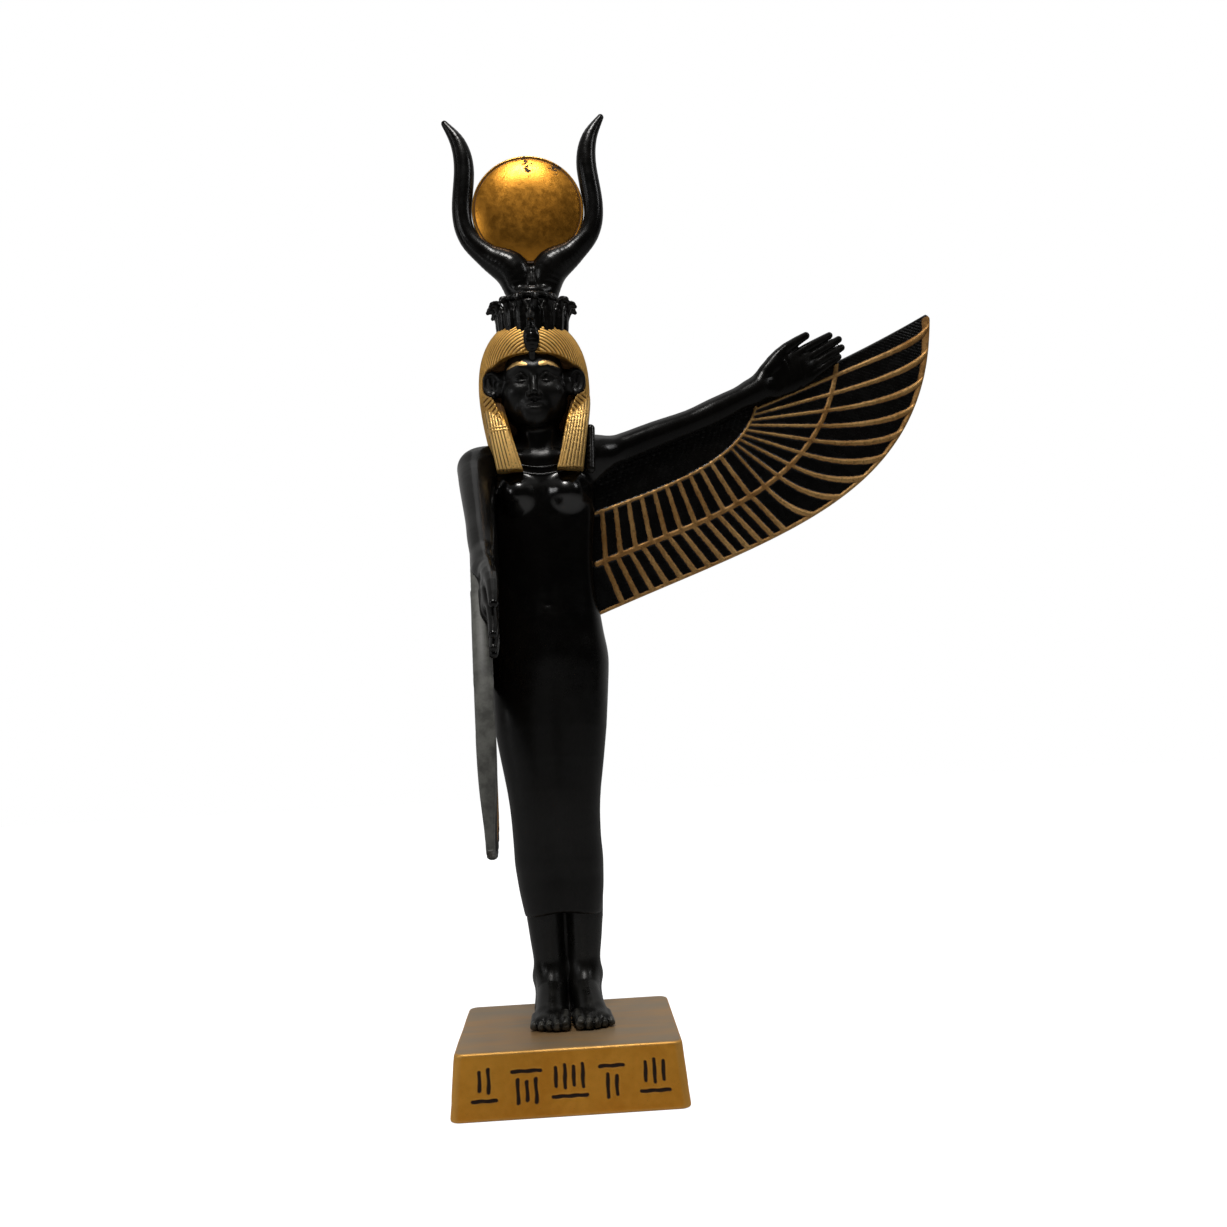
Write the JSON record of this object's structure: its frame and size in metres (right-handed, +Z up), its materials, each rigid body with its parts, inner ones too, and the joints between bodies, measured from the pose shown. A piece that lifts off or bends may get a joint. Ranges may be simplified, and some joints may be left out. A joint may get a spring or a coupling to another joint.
{
  "type": "winged goddess statue",
  "caption": "Souvenir statuette of a standing Egyptian goddess with spread wings, gold wig and a horned sun-disc crown, on a low tapered gold plinth.",
  "frame": {"origin": "middle of the plinth's underside", "axes": "+Z up, -Y the way the figure faces, +X to a viewer's right, toward the figure's raised left arm"},
  "size_m": [0.1437, 0.085, 0.2581],
  "materials": {
    "black_paint": "black painted cast resin with a soft sheen, and worn gold paint on the wig, disc and wing ribs",
    "gold_paint": "brushed-on gold paint over cast resin, browner in the hollows and worn at the edges"
  },
  "bodies": {
    "root": {"figure": "black_paint", "plinth": "gold_paint"}
  },
  "joints": []
}
